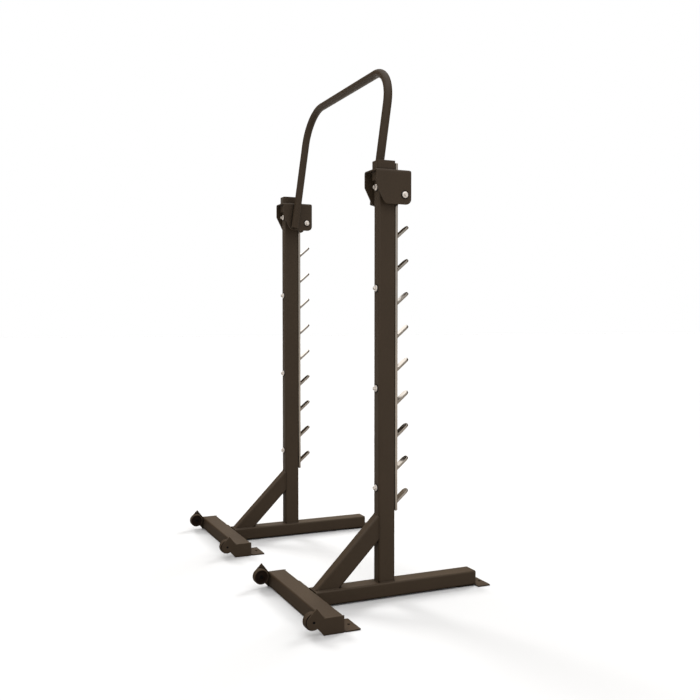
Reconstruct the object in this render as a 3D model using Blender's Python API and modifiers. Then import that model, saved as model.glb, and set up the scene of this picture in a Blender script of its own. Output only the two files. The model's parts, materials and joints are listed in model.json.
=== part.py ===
"""A pair of squat stands joined by a tubular arch.

Each stand is a rectangular upright on a T-shaped base: a base tube that runs back under the lifter,
a cross foot on two tip-and-roll wheels, and a diagonal brace. A steel rail with a ladder of bar hooks
is bolted down the lifter's side of the upright. A folded saddle bracket sits over a collar at the top
and carries one leg of the arch that ties the two stands together.

Units are metres, +Z is up and the lifter stands on the -Y side. The origin is on the floor, at the
middle of the whole object. The two stands mirror each other in the plane X = 0.
"""
from math import atan2, cos, degrees, pi, radians, sin, sqrt, tan

import bmesh
import bpy
from mathutils import Matrix, Vector

# Clearances
SEAT_GAP = 0.0003              # between two pieces that touch or are welded on the real stand
RUNNING_GAP = 0.0005           # beside a turning wheel
CUT_MARGIN = 0.010             # how far a cutter runs past what it cuts

# Upright and its tubes
STAND_SPACING = 1.160          # between the centrelines of the two uprights
UPRIGHT_DEPTH = 0.0762
UPRIGHT_WIDTH = 0.0508
UPRIGHT_TOP = 1.832            # height above the floor
TUBE_WALL = 0.003
TUBE_CORNER = 0.007            # outer corner radius of every rectangular tube
PLUG_PLATE = 0.003
PLUG_DEPTH = 0.018             # how far a plug's skirt reaches into its tube

# Base
BASE_WIDTH = 0.080
BASE_HEIGHT = 0.061
BASE_BACK = 0.4316             # from the upright's centreline to the end cap's outer face
END_CAP_PLATE = 0.004
END_CAP_ROUND = 0.002
FOOT_DEPTH = 0.080
FOOT_HEIGHT = 0.065
FOOT_LENGTH = 0.660            # over its end plates
FOOT_SETBACK = 0.3685          # from the upright's centreline to the foot's
BRACE_DEPTH = 0.0762
BRACE_WIDTH = 0.0508
BRACE_HEIGHT = 0.354           # where its upper edge meets the upright
BRACE_TOE_SPACE = 0.007        # along the base tube, from the brace's toe to the foot

# End plates and wheels
END_PLATE = 0.006
AXLE_HEIGHT = 0.054
AXLE_OFFSET = 0.0825           # from the foot's centreline to the axle
LOBE_RADIUS = 0.0283           # round end of the plate, about the axle
LOBE_TIP_HEIGHT = 0.106
LOBE_TIP_INSET = 0.0114        # the tip stands this far inside the axle
LOBE_TIP_RADIUS = 0.0015
LOBE_HEEL_ANGLE = 240          # where the round end meets the slanting lower edge
HEEL_SPACE = 0.0025            # flat foot of the plate, past the cross foot
PLATE_RISE = 0.0006            # the plate's top edge above the cross foot's
WHEEL_RADIUS = 0.033
TYRE_WIDTH = 0.028
WHEEL_SPACE = 0.003            # between the tyre and the end plate, filled by the hub's boss
TYRE_ROUND = 0.004
HUB_RADIUS = 0.012
FACE_RECESS = 0.0015
RECESS_RADIUS = 0.026
AXLE_RADIUS = 0.005
AXLE_HEAD_RADIUS = 0.008
AXLE_HEAD_HEIGHT = 0.005
AXLE_HEAD_SPACE = 0.0008       # round the head in the wheel's counterbore
AXLE_HEAD_SINK = 0.001         # below the wheel's inner face
AXLE_SOCKET_RADIUS = 0.0035
AXLE_SOCKET_DEPTH = 0.003
AXLE_END_SINK = 0.003          # below the end plate's outer face

# Floor anchors
ANCHOR_PLATE = 0.006
ANCHOR_HOLE_RADIUS = 0.007
FOOT_ANCHOR_LENGTH = 0.125
FOOT_ANCHOR_REACH = 0.068      # past the cross foot, towards the lifter
FOOT_ANCHOR_HOLE_EDGE = 0.0235 # from the hole's centre to the anchor's free edge
FOOT_ANCHOR_NOTCH = 0.008      # clipped corners, beside the foot and the end plate
REAR_ANCHOR_WIDTH = 0.124
REAR_ANCHOR_REACH = 0.0604     # past the base tube's end cap
REAR_ANCHOR_HOLE_EDGE = 0.018
REAR_STEM_WIDTH = 0.060
REAR_STEM_LENGTH = 0.090       # under the base tube
ANCHOR_CORNER = 0.003

# Hook rail
RAIL_WIDTH = 0.050
RAIL_PLATE = 0.012
RAIL_BOTTOM = 0.366            # height above the floor
RAIL_TOP_DROP = 0.001          # below the upright's top
HOOK_FIRST_DROP = 0.3168       # from the upright's top to the first hook's lower corner
HOOK_PITCH = 0.140
HOOK_TAIL = 0.030              # rail that stays below the last hook
HOOK_WIDTH = 0.033
HOOK_PLATE = 0.0095
HOOK_LENGTH = 0.080            # along the slope, from the rail's face to the round end
HOOK_SLOPE = 40.6              # degrees above level
HOOK_ROOT = 0.006              # how far the hook is let into the rail

# Bolts that hold the rail
BOLT_RADIUS = 0.006
BOLT_FLANGE_RADIUS = 0.0135
BOLT_FLANGE_RIM = 0.002        # upright edge of the flange, below its dome
BOLT_FLANGE_HEIGHT = 0.0055
BOLT_HEX_RADIUS = 0.0075       # across the corners, halved
BOLT_HEX_HEIGHT = 0.007        # above the flange
WASHER_RADIUS = 0.0175
WASHER_PLATE = 0.0015
RAIL_BOLTS = 4                 # evenly spaced
RAIL_BOLT_DROP = 0.104         # from the upright's top to the first bolt
RAIL_BOLT_TAIL = 0.0996        # rail that stays below the last bolt
RAIL_BOLT_SKIN = 0.003         # rail left in front of the tapped hole

# Collar and saddle bracket
BENT_PLATE = 0.006
COLLAR_PLATE = 0.008
BEND_RADIUS = 0.004            # inside radius of every bend
COLLAR_HEIGHT = 0.080
COLLAR_RISE = 0.006            # above the upright's top
COLLAR_OPEN_EDGE = 0.032       # from the upright's centreline to the flanges' free edges
WEB_DROP = 0.032               # from the upright's top to the bracket's top face
CHEEK_HEIGHT = 0.144
CHEEK_OUTSIDE = 0.0503         # upright's centreline to the outer cheek's outside
CHEEK_INSIDE = 0.0713          # upright's centreline to the inner cheek's outside
BRACKET_FRONT = 0.061          # upright's centreline to the bracket's wheel-side edge
BRACKET_BACK = 0.0996          # upright's centreline to its lifter-side edge
CHEEK_TOP_CORNER = 0.008
CHEEK_LOW_CORNER = 0.024
CHEEK_STRAIGHT = 0.0672        # upright part of the wheel-side edge, below the bracket's top
CHEEK_STRAIGHT_ROUND = 0.008
CHEEK_TOE = 0.022              # upright's centreline to the slanting edge's lower end
CHEEK_TOE_ROUND = 0.023
CROSS_BOLT_DROP = 0.1036       # below the bracket's top face
CROSS_BOLT_BACK = 0.0692       # upright's centreline to the bolt
SPACER_RADIUS = 0.0095
NUT_RADIUS = 0.0104            # across the corners, halved
NUT_HEIGHT = 0.010
BOLT_END = 0.003               # thread that shows past the nut

# Arch
ARCH_RADIUS = 0.019
ARCH_WALL = 0.003
ARCH_BEND = 0.170              # radius of the two bends, on the tube's centreline
ARCH_LEAN = 8.03               # degrees towards the lifter
ARCH_TOP = 0.4749              # from the bracket's top face to the crossbar's centreline
ARCH_FOOT = 0.010              # from the bracket's lower edge up to the legs' open ends
ARCH_FOOT_Y = 0.006            # upright's centreline to the leg's, at its open end

# Facets
CORNER_STEPS = 3
ROUND_STEPS = 24
BOLT_STEPS = 16
HOLE_STEPS = 12
BEND_STEPS = 8

# Worked out from the sizes above
foot_front = FOOT_SETBACK - FOOT_DEPTH / 2          # the foot's lifter-side face
axle_y = FOOT_SETBACK + AXLE_OFFSET
rear_edge = BASE_BACK + REAR_ANCHOR_REACH
base_bottom = ANCHOR_PLATE + SEAT_GAP
base_top = base_bottom + BASE_HEIGHT
foot_tube_end = FOOT_LENGTH / 2 - END_PLATE - SEAT_GAP
rail_back = UPRIGHT_DEPTH / 2 + SEAT_GAP
rail_face = rail_back + RAIL_PLATE
rail_top = UPRIGHT_TOP - RAIL_TOP_DROP
collar_out_x = UPRIGHT_WIDTH / 2 + SEAT_GAP + COLLAR_PLATE
collar_out_y = UPRIGHT_DEPTH / 2 + SEAT_GAP + COLLAR_PLATE
web_top = UPRIGHT_TOP - WEB_DROP
cheek_bottom = web_top - CHEEK_HEIGHT
wheel_reach = axle_y + max(WHEEL_RADIUS, LOBE_RADIUS)
upright_y = (rear_edge - wheel_reach) / 2           # centres the whole object on the origin


def clear_scene():
    """Remove whatever the file opened with."""
    for thing in list(bpy.data.objects):
        bpy.data.objects.remove(thing, do_unlink=True)


def new_collection(name):
    """Add a collection to the scene."""
    collection = bpy.data.collections.new(name)
    bpy.context.scene.collection.children.link(collection)
    return collection


def finish(name, colour, roughness, metallic):
    """A plain surface: linear colour, roughness and metallic value."""
    material = bpy.data.materials.new(name)
    material.use_nodes = True
    shader = material.node_tree.nodes["Principled BSDF"]
    shader.inputs["Base Color"].default_value = (*colour, 1.0)
    shader.inputs["Roughness"].default_value = roughness
    shader.inputs["Metallic"].default_value = metallic
    return material


clear_scene()
parts = new_collection("squat_stand")
cutters = new_collection("cutters")
POWDER_COAT = finish("bronze_powder_coat", (0.051, 0.036, 0.025), 0.55, 0.1)
BRIGHT_STEEL = finish("bright_zinc_steel", (0.55, 0.52, 0.48), 0.30, 1.0)
DARK_STEEL = finish("blackened_steel", (0.010, 0.009, 0.008), 0.45, 0.6)
WHEEL_RUBBER = finish("black_rubber", (0.012, 0.010, 0.008), 0.75, 0.0)
PLUG_PLASTIC = finish("brown_plastic", (0.040, 0.030, 0.022), 0.50, 0.0)


def arc(centre, radius, start, end, steps):
    """Points along an arc, angles in degrees, both ends included."""
    turns = [radians(start + (end - start) * i / steps) for i in range(steps + 1)]
    return [(centre[0] + radius * cos(a), centre[1] + radius * sin(a)) for a in turns]


def circle(centre, radius, steps=HOLE_STEPS):
    """Points round a whole circle."""
    return arc(centre, radius, 0, 360 - 360 / steps, steps - 1)


def rounded(corners, steps=CORNER_STEPS):
    """Points through (x, y, radius) corners, each corner turned with an arc of its radius."""
    points = []
    for i, (x, y, radius) in enumerate(corners):
        here = Vector((x, y))
        if radius == 0:
            points.append(here)
            continue
        back = (Vector(corners[i - 1][:2]) - here).normalized()
        ahead = (Vector(corners[(i + 1) % len(corners)][:2]) - here).normalized()
        half = back.angle(ahead) / 2
        centre = here + (back + ahead).normalized() * radius / sin(half)
        first = here + back * radius / tan(half) - centre
        last = here + ahead * radius / tan(half) - centre
        sweep = atan2(first.x * last.y - first.y * last.x, first.dot(last))
        points += [centre + Matrix.Rotation(sweep * k / steps, 2) @ first for k in range(steps + 1)]
    return [tuple(point) for point in points]


def rectangle(width, height, corner):
    """A rounded rectangle about the origin."""
    x, y = width / 2, height / 2
    return rounded([(-x, -y, corner), (x, -y, corner), (x, y, corner), (-x, y, corner)])


def tube_section(width, height):
    """Outer and inner outline of a rectangular tube."""
    inner = TUBE_CORNER - TUBE_WALL
    return [rectangle(width, height, TUBE_CORNER),
            rectangle(width - 2 * TUBE_WALL, height - 2 * TUBE_WALL, inner)]


def channel(low, high, edge, back, plate, bend=BEND_RADIUS):
    """Section of a plate bent to a U: flanges at low and high run from edge to the web at back."""
    inward = plate if back > edge else -plate
    return rounded([
        (low, edge, 0), (low, back, bend + plate), (high, back, bend + plate), (high, edge, 0),
        (high - plate, edge, 0), (high - plate, back - inward, bend),
        (low + plate, back - inward, bend), (low + plate, edge, 0)])


# How an outline's own x, y and thickness lie in the stand: flat on the floor, upright facing
# sideways (its x along Y), or upright facing the lifter (its x along X)
LYING = Matrix.Identity(4)
SIDEWAYS = Matrix(((0, 0, 1, 0), (1, 0, 0, 0), (0, 1, 0, 0), (0, 0, 0, 1)))
FACING = Matrix.Rotation(pi / 2, 4, "X")


def seal(bm):
    """Weld loose seams and point every face outwards."""
    bmesh.ops.remove_doubles(bm, verts=bm.verts, dist=1e-6)
    bmesh.ops.recalc_face_normals(bm, faces=bm.faces)


def add_part(name, mesh, material, parent, location, rotation=(0, 0, 0)):
    """Put a mesh in the object's collection, under its stand."""
    part = bpy.data.objects.new(name, mesh)
    part.location = location
    part.rotation_euler = rotation
    part.parent = parent
    parts.objects.link(part)
    mesh.materials.clear()
    mesh.materials.append(material)
    return part


def as_cutter(part):
    """Move an object to the cutters, which are drawn as wires and left out of the model."""
    parts.objects.unlink(part)
    cutters.objects.link(part)
    part.hide_render = True
    part.display_type = "WIRE"
    return part


def combine(part, tool, operation="DIFFERENCE"):
    """Cut a part with a cutter, or join the two."""
    boolean = part.modifiers.new(tool.name, "BOOLEAN")
    boolean.operation = operation
    boolean.object = tool


def curve_mesh(name, curve):
    """The welded mesh of a curve, which is then removed."""
    holder = bpy.data.objects.new(name, curve)
    bpy.context.scene.collection.objects.link(holder)
    evaluated = holder.evaluated_get(bpy.context.evaluated_depsgraph_get())
    mesh = bpy.data.meshes.new_from_object(evaluated)
    bpy.data.objects.remove(holder, do_unlink=True)
    bpy.data.curves.remove(curve)
    mesh.name = name
    return mesh


def add_path(curve, points, cyclic):
    """Add one straight-sided spline to a curve."""
    spline = curve.splines.new("POLY")
    spline.points.add(len(points) - 1)
    for point, place in zip(spline.points, points):
        point.co = (*place, 0.0, 1.0) if len(place) == 2 else (*place, 1.0)
    spline.use_cyclic_u = cyclic


def extrusion(name, outlines, thickness, lie, material, parent, location):
    """A flat outline, with any holes in it, given a thickness about its own plane."""
    curve = bpy.data.curves.new(name, "CURVE")
    curve.dimensions = "2D"
    curve.fill_mode = "BOTH"
    curve.extrude = thickness / 2
    for outline in outlines:
        add_path(curve, outline, cyclic=True)
    mesh = curve_mesh(name, curve)
    bm = bmesh.new()
    bm.from_mesh(mesh)
    seal(bm)
    bm.transform(lie)
    bm.to_mesh(mesh)
    bm.free()
    return add_part(name, mesh, material, parent, location)


def turning(name, profile, material, parent, location, rotation, steps=ROUND_STEPS, closed=False):
    """A turned piece: its (radius, height) profile runs down the outer side and spins about Z."""
    bm = bmesh.new()
    verts = [bm.verts.new((radius, 0, height)) for radius, height in profile]
    for a, b in zip(verts, verts[1:]):
        bm.edges.new((a, b))
    if closed:
        bm.edges.new((verts[-1], verts[0]))
    mesh = bpy.data.meshes.new(name)
    bm.to_mesh(mesh)
    bm.free()
    part = add_part(name, mesh, material, parent, location, rotation)
    spin = part.modifiers.new("spin", "SCREW")
    spin.steps = spin.render_steps = steps
    spin.use_merge_vertices = True
    spin.merge_threshold = 1e-5
    return part


def rod_cutter(name, radius, length, parent, location, rotation, sides=HOLE_STEPS):
    """A round or many-sided cutter about its own Z."""
    bm = bmesh.new()
    bmesh.ops.create_cone(bm, cap_ends=True, segments=sides, radius1=radius, radius2=radius,
                          depth=length)
    mesh = bpy.data.meshes.new(name)
    bm.to_mesh(mesh)
    bm.free()
    return as_cutter(add_part(name, mesh, DARK_STEEL, parent, location, rotation))


def block_cutter(name, size, parent, location, rotation=(0, 0, 0)):
    """A box-shaped cutter."""
    bm = bmesh.new()
    bmesh.ops.create_cube(bm, size=1.0)
    bm.transform(Matrix.Diagonal((*size, 1.0)))
    mesh = bpy.data.meshes.new(name)
    bm.to_mesh(mesh)
    bm.free()
    return as_cutter(add_part(name, mesh, DARK_STEEL, parent, location, rotation))


ALONG_X = (0, pi / 2, 0)       # turns a piece's own +Z to +X
ALONG_BACK_X = (0, -pi / 2, 0)
TOWARDS_WHEELS = (-pi / 2, 0, 0)
TOWARDS_LIFTER = (pi / 2, 0, 0)


def tube_plug(name, width, height, plate, edge_round, parent, location, rotation):
    """A plastic plug: a plate over the tube's end and a skirt inside it. It points along its own Z."""
    lid = extrusion(name, [rectangle(width, height, TUBE_CORNER)], plate, LYING,
                    PLUG_PLASTIC, parent, location)
    lid.rotation_euler = rotation
    bm = bmesh.new()
    bm.from_mesh(lid.data)
    rim = [e for e in bm.edges if all(v.co.z > 0 for v in e.verts) and e.calc_face_angle(0) > 1]
    bmesh.ops.bevel(bm, geom=rim, offset=edge_round, offset_type="OFFSET", segments=2, profile=0.5,
                    affect="EDGES", material=-1)
    bm.transform(Matrix.Translation((0, 0, plate / 2)))
    bm.to_mesh(lid.data)
    bm.free()
    slack = 2 * (TUBE_WALL + SEAT_GAP)
    overlap = plate / 2
    skirt = extrusion(name + "_skirt",
                      [rectangle(width - slack, height - slack, TUBE_CORNER - TUBE_WALL)],
                      PLUG_DEPTH + overlap, LYING, PLUG_PLASTIC, parent, location)
    skirt.rotation_euler = rotation
    skirt.data.transform(Matrix.Translation((0, 0, (overlap - PLUG_DEPTH) / 2)))
    combine(lid, as_cutter(skirt), "UNION")
    return lid


def flange_bolt(name, shank, parent, location, rotation):
    """A hexagonal bolt with a domed flange and a washer. Its own +Z is the head's side, 0 at the seat."""
    rim = WASHER_PLATE + BOLT_FLANGE_RIM
    dome = WASHER_PLATE + BOLT_FLANGE_HEIGHT
    top = dome + BOLT_HEX_HEIGHT
    crown = [(BOLT_FLANGE_RADIUS * cos(radians(a)), rim + (dome - rim) * sin(radians(a)))
             for a in (60, 30, 0)]
    profile = ([(0, dome)] + crown
               + [(BOLT_FLANGE_RADIUS, WASHER_PLATE), (WASHER_RADIUS, WASHER_PLATE),
                  (WASHER_RADIUS, 0), (BOLT_RADIUS, 0), (BOLT_RADIUS, -shank), (0, -shank)])
    bolt = turning(name, profile, BRIGHT_STEEL, parent, location, rotation, BOLT_STEPS)
    turn = Matrix.LocRotScale(Vector(location), bolt.rotation_euler, None)
    hexagon = rod_cutter(name + "_hexagon", BOLT_HEX_RADIUS, top - rim, parent,
                         turn @ Vector((0, 0, (top + rim) / 2)), rotation, sides=6)
    combine(bolt, hexagon, "UNION")
    return bolt


def add_frame(stand, side):
    """Base tube, cross foot, upright and brace of one stand, with their plugs."""
    base_end = BASE_BACK - END_CAP_PLATE - SEAT_GAP
    base_front = foot_front - SEAT_GAP
    extrusion(side + "_base_tube", tube_section(BASE_WIDTH, BASE_HEIGHT), base_front + base_end,
              FACING, POWDER_COAT, stand,
              (0, (base_front - base_end) / 2, base_bottom + BASE_HEIGHT / 2))
    tube_plug(side + "_base_end_cap", BASE_WIDTH, BASE_HEIGHT, END_CAP_PLATE, END_CAP_ROUND, stand,
              (0, -base_end - SEAT_GAP, base_bottom + BASE_HEIGHT / 2), TOWARDS_LIFTER)
    extrusion(side + "_cross_foot", tube_section(FOOT_DEPTH, FOOT_HEIGHT), 2 * foot_tube_end,
              SIDEWAYS, POWDER_COAT, stand, (0, FOOT_SETBACK, FOOT_HEIGHT / 2))
    foot_of_upright = base_top + SEAT_GAP
    upright = extrusion(side + "_upright", tube_section(UPRIGHT_WIDTH, UPRIGHT_DEPTH),
                        UPRIGHT_TOP - foot_of_upright, LYING, POWDER_COAT, stand,
                        (0, 0, (UPRIGHT_TOP + foot_of_upright) / 2))
    tube_plug(side + "_upright_plug", UPRIGHT_WIDTH, UPRIGHT_DEPTH, PLUG_PLATE, PLUG_PLATE / 2,
              stand, (0, 0, UPRIGHT_TOP + SEAT_GAP), (0, 0, 0))
    add_brace(stand, side)
    return upright


def add_brace(stand, side):
    """The diagonal tube, mitred to the upright's face and to the base tube's top."""
    top = Vector((UPRIGHT_DEPTH / 2 + SEAT_GAP, BRACE_HEIGHT))
    toe = Vector((foot_front - BRACE_TOE_SPACE, base_top + SEAT_GAP))
    slope = atan2(top.y - toe.y, toe.x - top.x)
    middle = (top + toe) / 2 - Vector((sin(slope), cos(slope))) * BRACE_DEPTH / 2
    length = (toe - top).length + 2 * BRACE_DEPTH
    brace = extrusion(side + "_brace", tube_section(BRACE_WIDTH, BRACE_DEPTH), length, FACING,
                      POWDER_COAT, stand, (0, middle.x, middle.y))
    brace.rotation_euler = (-slope, 0, 0)
    room = BRACE_HEIGHT + BRACE_DEPTH
    face = block_cutter(side + "_brace_top_cut", (2 * BRACE_WIDTH, room, 3 * room), stand,
                        (0, top.x - room / 2, room / 2))
    floor = block_cutter(side + "_brace_toe_cut", (2 * BRACE_WIDTH, 3 * room, room), stand,
                         (0, toe.x, toe.y - room / 2))
    combine(brace, face)
    combine(brace, floor)


def end_plate_outline():
    """Side view of an end plate, in distances from the upright's centreline and the floor."""
    axle = Vector((axle_y, AXLE_HEIGHT))
    tip = Vector((axle_y - LOBE_TIP_INSET, LOBE_TIP_HEIGHT))
    reach = (axle - tip).length
    bearing = atan2(tip.y - axle.y, tip.x - axle.x)
    touch = degrees(bearing - atan2(sqrt(reach ** 2 - LOBE_RADIUS ** 2), LOBE_RADIUS))
    lobe = arc(axle, LOBE_RADIUS, LOBE_HEEL_ANGLE - 360, touch, BEND_STEPS)
    foot_back = FOOT_SETBACK + FOOT_DEPTH / 2
    top = FOOT_HEIGHT + PLATE_RISE
    corners = [(foot_front, 0, 0), (foot_back + HEEL_SPACE, 0, 0)]
    corners += [(y, z, 0) for y, z in lobe]
    corners += [(tip.x, tip.y, LOBE_TIP_RADIUS), (foot_back, top, 0), (foot_front, top, 0)]
    return rounded(corners)


def add_wheel(stand, name, face, plate_x):
    """One wheel and its shoulder screw. face is +1 or -1, the side where the end plate is."""
    tyre = WHEEL_SPACE + TYRE_WIDTH
    bore = AXLE_RADIUS + SEAT_GAP
    counterbore = AXLE_HEAD_RADIUS + AXLE_HEAD_SPACE
    ledge = -tyre + AXLE_HEAD_SINK + AXLE_HEAD_HEIGHT + SEAT_GAP
    shoulder = [(WHEEL_RADIUS - TYRE_ROUND + TYRE_ROUND * sin(radians(a)),
                 TYRE_ROUND * (1 - cos(radians(a)))) for a in (0, 45, 90)]
    profile = [(bore, -RUNNING_GAP), (HUB_RADIUS, -RUNNING_GAP), (HUB_RADIUS, -WHEEL_SPACE)]
    profile += [(r, -WHEEL_SPACE - drop) for r, drop in shoulder]
    profile += [(r, -tyre + drop) for r, drop in reversed(shoulder)]
    profile += [(RECESS_RADIUS, -tyre), (RECESS_RADIUS - FACE_RECESS, -tyre + FACE_RECESS),
                (HUB_RADIUS + FACE_RECESS, -tyre + FACE_RECESS), (HUB_RADIUS, -tyre),
                (counterbore, -tyre), (counterbore, ledge), (bore, ledge)]
    turn = ALONG_X if face > 0 else ALONG_BACK_X
    turning(name + "_wheel", profile, WHEEL_RUBBER, stand, (plate_x, axle_y, AXLE_HEIGHT), turn,
            closed=True)
    head_low = -tyre + AXLE_HEAD_SINK
    head_top = head_low + AXLE_HEAD_HEIGHT
    tail = END_PLATE - AXLE_END_SINK
    axle = turning(name + "_axle", [
        (0, tail), (AXLE_RADIUS, tail), (AXLE_RADIUS, head_top), (AXLE_HEAD_RADIUS, head_top),
        (AXLE_HEAD_RADIUS, head_low), (0, head_low)],
        DARK_STEEL, stand, (plate_x, axle_y, AXLE_HEIGHT), turn, BOLT_STEPS)
    socket = rod_cutter(name + "_axle_socket", AXLE_SOCKET_RADIUS, 2 * AXLE_SOCKET_DEPTH, stand,
                        (plate_x + face * head_low, axle_y, AXLE_HEIGHT), turn, sides=6)
    combine(axle, socket)


def add_foot_end(stand, side, place, face):
    """The end plate, wheel and floor anchor at one end of the cross foot."""
    name = side + "_" + place
    middle = face * (FOOT_LENGTH - END_PLATE) / 2
    hole = circle((axle_y, AXLE_HEIGHT), AXLE_RADIUS + SEAT_GAP)
    extrusion(name + "_end_plate", [end_plate_outline(), hole], END_PLATE, SIDEWAYS, POWDER_COAT,
              stand, (middle, 0, 0))
    inner_face = face * (FOOT_LENGTH / 2 - END_PLATE)
    add_wheel(stand, name, face, inner_face)
    near, far = foot_front - SEAT_GAP, foot_front - FOOT_ANCHOR_REACH
    outer = face * FOOT_LENGTH / 2
    inner = outer - face * FOOT_ANCHOR_LENGTH
    notch = FOOT_ANCHOR_NOTCH
    outline = rounded([
        (inner, near, 0), (inner, far, ANCHOR_CORNER), (outer, far, ANCHOR_CORNER),
        (outer, near - notch, 0), (outer - face * notch, near, 0)])
    bolt_hole = circle(((inner + outer) / 2, far + FOOT_ANCHOR_HOLE_EDGE), ANCHOR_HOLE_RADIUS)
    extrusion(name + "_anchor", [outline, bolt_hole], ANCHOR_PLATE, LYING, POWDER_COAT, stand,
              (0, 0, ANCHOR_PLATE / 2))


def add_rear_anchor(stand, side):
    """The T-shaped anchor under the base tube's free end."""
    head, stem = REAR_ANCHOR_WIDTH / 2, REAR_STEM_WIDTH / 2
    root = -BASE_BACK + REAR_STEM_LENGTH
    outline = rounded([
        (-head, -rear_edge, ANCHOR_CORNER), (head, -rear_edge, ANCHOR_CORNER),
        (head, -BASE_BACK, ANCHOR_CORNER), (stem, -BASE_BACK, ANCHOR_CORNER),
        (stem, root, ANCHOR_CORNER), (-stem, root, ANCHOR_CORNER),
        (-stem, -BASE_BACK, ANCHOR_CORNER), (-head, -BASE_BACK, ANCHOR_CORNER)])
    bolt_hole = circle((0, -rear_edge + REAR_ANCHOR_HOLE_EDGE), ANCHOR_HOLE_RADIUS)
    extrusion(side + "_rear_anchor", [outline, bolt_hole], ANCHOR_PLATE, LYING, POWDER_COAT, stand,
              (0, 0, ANCHOR_PLATE / 2))


def ladder_heights(first, lowest):
    """Heights of the hooks, from the first one down, as many as the rail has room for."""
    count = int((first - lowest) / HOOK_PITCH) + 1
    return [first - i * HOOK_PITCH for i in range(count)]


def add_rail(stand, side, upright):
    """The hook rail, its ladder of hooks and the bolts that hold it to the upright."""
    rail = extrusion(side + "_hook_rail", [rectangle(RAIL_WIDTH, rail_top - RAIL_BOTTOM, 0)],
                     RAIL_PLATE, FACING, BRIGHT_STEEL, stand,
                     (0, -rail_back - RAIL_PLATE / 2, (rail_top + RAIL_BOTTOM) / 2))
    half = HOOK_WIDTH / 2
    root = -HOOK_ROOT
    outline = [(-half, root), (half, root)]
    outline += arc((0, HOOK_LENGTH - half), half, 0, 180, BEND_STEPS + 2)
    hooks = ladder_heights(UPRIGHT_TOP - HOOK_FIRST_DROP, RAIL_BOTTOM + HOOK_TAIL)
    slope = radians(HOOK_SLOPE)
    hook = extrusion(side + "_hooks", [outline], HOOK_PLATE, LYING, BRIGHT_STEEL, stand,
                     (0, -rail_face, hooks[0]))
    hook.data.transform(Matrix.Translation((0, 0, HOOK_PLATE / 2)))
    hook.rotation_euler = (pi - slope, 0, 0)
    hook.data.transform(Matrix.Rotation(pi, 4, "Y"))
    ladder = hook.modifiers.new("ladder", "ARRAY")
    ladder.count = len(hooks)
    ladder.use_relative_offset = False
    ladder.use_constant_offset = True
    ladder.constant_offset_displace = Matrix.Rotation(slope - pi, 3, "X") @ Vector((0, 0, -HOOK_PITCH))
    combine(rail, as_cutter(hook), "UNION")
    reach = UPRIGHT_DEPTH + SEAT_GAP + RAIL_PLATE - RAIL_BOLT_SKIN
    first, last = UPRIGHT_TOP - RAIL_BOLT_DROP, RAIL_BOTTOM + RAIL_BOLT_TAIL
    for i in range(RAIL_BOLTS):
        height = first + (last - first) * i / (RAIL_BOLTS - 1)
        name = side + "_rail_bolt_" + str(i + 1)
        drill = rod_cutter(name + "_hole", BOLT_RADIUS + SEAT_GAP, reach + CUT_MARGIN, stand,
                           (0, UPRIGHT_DEPTH / 2 - (reach - CUT_MARGIN) / 2, height), TOWARDS_WHEELS)
        combine(upright, drill)
        combine(rail, drill)
        flange_bolt(name, reach, stand, (0, UPRIGHT_DEPTH / 2 + SEAT_GAP, height), TOWARDS_WHEELS)


def cheek_outline():
    """Side view of the saddle bracket's cheeks, open above so that the fold stays whole."""
    over = web_top + CUT_MARGIN
    top_corner = arc((-BRACKET_BACK + CHEEK_TOP_CORNER, web_top - CHEEK_TOP_CORNER),
                     CHEEK_TOP_CORNER, 90, 180, 2 * CORNER_STEPS)
    corners = [(BRACKET_FRONT, over, 0), (-BRACKET_BACK + CHEEK_TOP_CORNER, over, 0)]
    corners += [(y, z, 0) for y, z in top_corner]
    corners += [(-BRACKET_BACK, cheek_bottom, CHEEK_LOW_CORNER),
                (CHEEK_TOE, cheek_bottom, CHEEK_TOE_ROUND),
                (BRACKET_FRONT, web_top - CHEEK_STRAIGHT, CHEEK_STRAIGHT_ROUND)]
    return rounded(corners, 2 * CORNER_STEPS)


def add_head(stand, side, out):
    """Collar, saddle bracket and cross bolt. out is +1 or -1, the side away from the other stand."""
    collar_top = UPRIGHT_TOP + COLLAR_RISE
    extrusion(side + "_collar",
              [channel(-collar_out_x, collar_out_x, -COLLAR_OPEN_EDGE, collar_out_y,
                       COLLAR_PLATE)],
              COLLAR_HEIGHT, LYING, POWDER_COAT, stand, (0, 0, collar_top - COLLAR_HEIGHT / 2))
    low, high = sorted((out * CHEEK_OUTSIDE, -out * CHEEK_INSIDE))
    depth = BRACKET_FRONT + BRACKET_BACK + 2 * CUT_MARGIN
    bracket = extrusion(side + "_saddle_bracket",
                        [channel(low, high, cheek_bottom - CUT_MARGIN, web_top, BENT_PLATE)],
                        depth, FACING,
                        POWDER_COAT, stand, (0, (BRACKET_FRONT - BRACKET_BACK) / 2, 0))
    shape = as_cutter(extrusion(side + "_cheek_shape", [cheek_outline()],
                                high - low + 2 * CUT_MARGIN, SIDEWAYS, POWDER_COAT, stand,
                                ((low + high) / 2, 0, 0)))
    combine(bracket, shape, "INTERSECT")
    window_y = (collar_out_y + SEAT_GAP, -rail_face - SEAT_GAP)
    window = block_cutter(side + "_window", (2 * (collar_out_x + SEAT_GAP), window_y[0] - window_y[1],
                                             4 * BENT_PLATE), stand,
                          (0, sum(window_y) / 2, web_top))
    combine(bracket, window)
    bolt_z = web_top - CROSS_BOLT_DROP
    hole = rod_cutter(side + "_cross_hole", BOLT_RADIUS + SEAT_GAP, high - low + 2 * CUT_MARGIN,
                      stand, ((low + high) / 2, -CROSS_BOLT_BACK, bolt_z), ALONG_X)
    combine(bracket, hole)
    add_cross_bolt(stand, side, low, high, bolt_z)


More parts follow.
